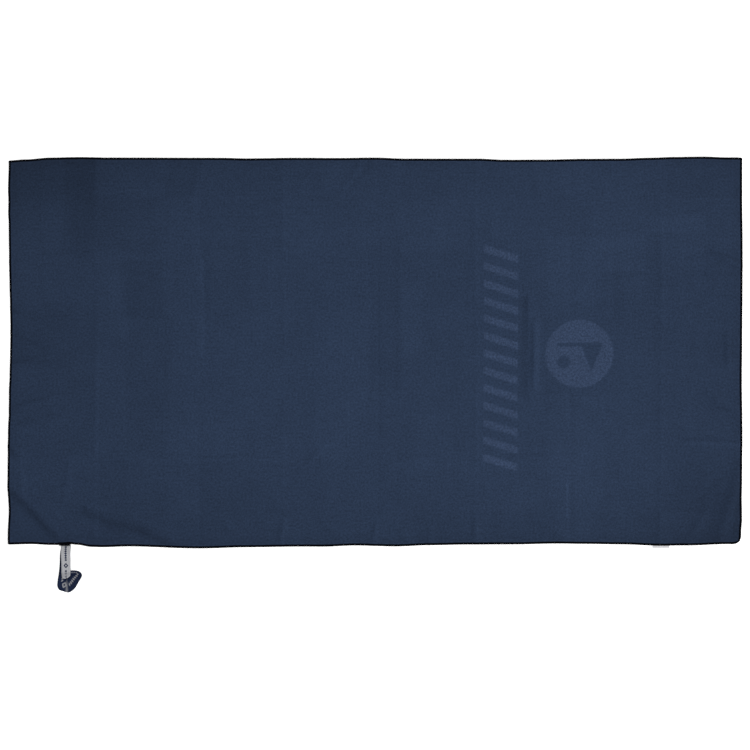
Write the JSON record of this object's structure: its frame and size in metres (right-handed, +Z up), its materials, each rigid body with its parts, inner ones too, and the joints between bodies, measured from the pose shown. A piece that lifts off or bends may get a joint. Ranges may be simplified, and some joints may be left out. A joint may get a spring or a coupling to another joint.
{
  "type": "golf towel",
  "caption": "Thin rectangular microfibre golf towel with an overlocked edge, a woven hanging loop at one hem and a tucked-in care label.",
  "frame": {"origin": "on the ground under the middle of the whole object, hanging loop included, with the towel lying flat", "axes": "+X along the towel's length, from the loop's end to the label's end; +Y across it, away from the hem with the loop; +Z up from the cloth's face"},
  "size_m": [1.1, 0.6511, 0.006],
  "materials": {
    "microfibre_cloth": "matt suede microfibre, navy",
    "overlock_thread": "near-black spun thread",
    "loop_tape": "matt woven tape, grey face with navy marks and navy reverse",
    "care_label": "pale grey satin ribbon"
  },
  "bodies": {
    "left_inner_quarter": {"cloth_left_inner": "microfibre_cloth", "upper_looper_thread_top_left_inner": "overlock_thread", "upper_looper_thread_bottom_left_inner": "overlock_thread", "lower_looper_thread_top_left_inner": "overlock_thread", "lower_looper_thread_bottom_left_inner": "overlock_thread", "needle_thread_top_left_inner": "overlock_thread", "needle_thread_bottom_left_inner": "overlock_thread"},
    "left_outer_quarter": {"cloth_left_outer": "microfibre_cloth", "upper_looper_thread_top_left_outer": "overlock_thread", "upper_looper_thread_bottom_left_outer": "overlock_thread", "lower_looper_thread_top_left_outer": "overlock_thread", "lower_looper_thread_bottom_left_outer": "overlock_thread", "needle_thread_top_left_outer": "overlock_thread", "needle_thread_bottom_left_outer": "overlock_thread", "upper_looper_thread_left_end": "overlock_thread", "lower_looper_thread_left_end": "overlock_thread", "needle_thread_left_end": "overlock_thread", "loop_tape_end_lower": "loop_tape", "loop_tape_end_upper": "loop_tape", "loop_stitching": "overlock_thread"},
    "right_inner_quarter": {"cloth_right_inner": "microfibre_cloth", "upper_looper_thread_top_right_inner": "overlock_thread", "upper_looper_thread_bottom_right_inner": "overlock_thread", "lower_looper_thread_top_right_inner": "overlock_thread", "lower_looper_thread_bottom_right_inner": "overlock_thread", "needle_thread_top_right_inner": "overlock_thread", "needle_thread_bottom_right_inner": "overlock_thread"},
    "right_outer_quarter": {"cloth_right_outer": "microfibre_cloth", "upper_looper_thread_top_right_outer": "overlock_thread", "upper_looper_thread_bottom_right_outer": "overlock_thread", "lower_looper_thread_top_right_outer": "overlock_thread", "lower_looper_thread_bottom_right_outer": "overlock_thread", "needle_thread_top_right_outer": "overlock_thread", "needle_thread_bottom_right_outer": "overlock_thread", "upper_looper_thread_right_end": "overlock_thread", "lower_looper_thread_right_end": "overlock_thread", "needle_thread_right_end": "overlock_thread", "care_label_root": "care_label", "care_label_stitching": "overlock_thread"},
    "hanging_loop": {"hanging_loop": "loop_tape"},
    "care_label": {"care_label": "care_label"}
  },
  "joints": [
    {"name": "left_fold", "type": "hinge", "parent": "left_inner_quarter", "child": "left_outer_quarter", "pos_m": [-0.275, 0, 0.0056], "axis": [0, 1, 0], "range_deg": [0, 180]},
    {"name": "centre_fold", "type": "hinge", "parent": "left_inner_quarter", "child": "right_inner_quarter", "pos_m": [0, 0, 0.0085], "axis": [0, -1, 0], "range_deg": [0, 180]},
    {"name": "right_fold", "type": "hinge", "parent": "right_inner_quarter", "child": "right_outer_quarter", "pos_m": [0.275, 0, 0.0026], "axis": [0, -1, 0], "range_deg": [0, 180]},
    {"name": "loop_swing", "type": "hinge", "parent": "left_outer_quarter", "child": "hanging_loop", "pos_m": [-0.4635, -0.258, 0.0044], "axis": [-1, 0, 0], "range_deg": [0, 180]},
    {"name": "label_swing", "type": "hinge", "parent": "right_outer_quarter", "child": "care_label", "pos_m": [0.429, -0.2602, 0.00075], "axis": [-1, 0, 0], "range_deg": [0, 180]}
  ]
}
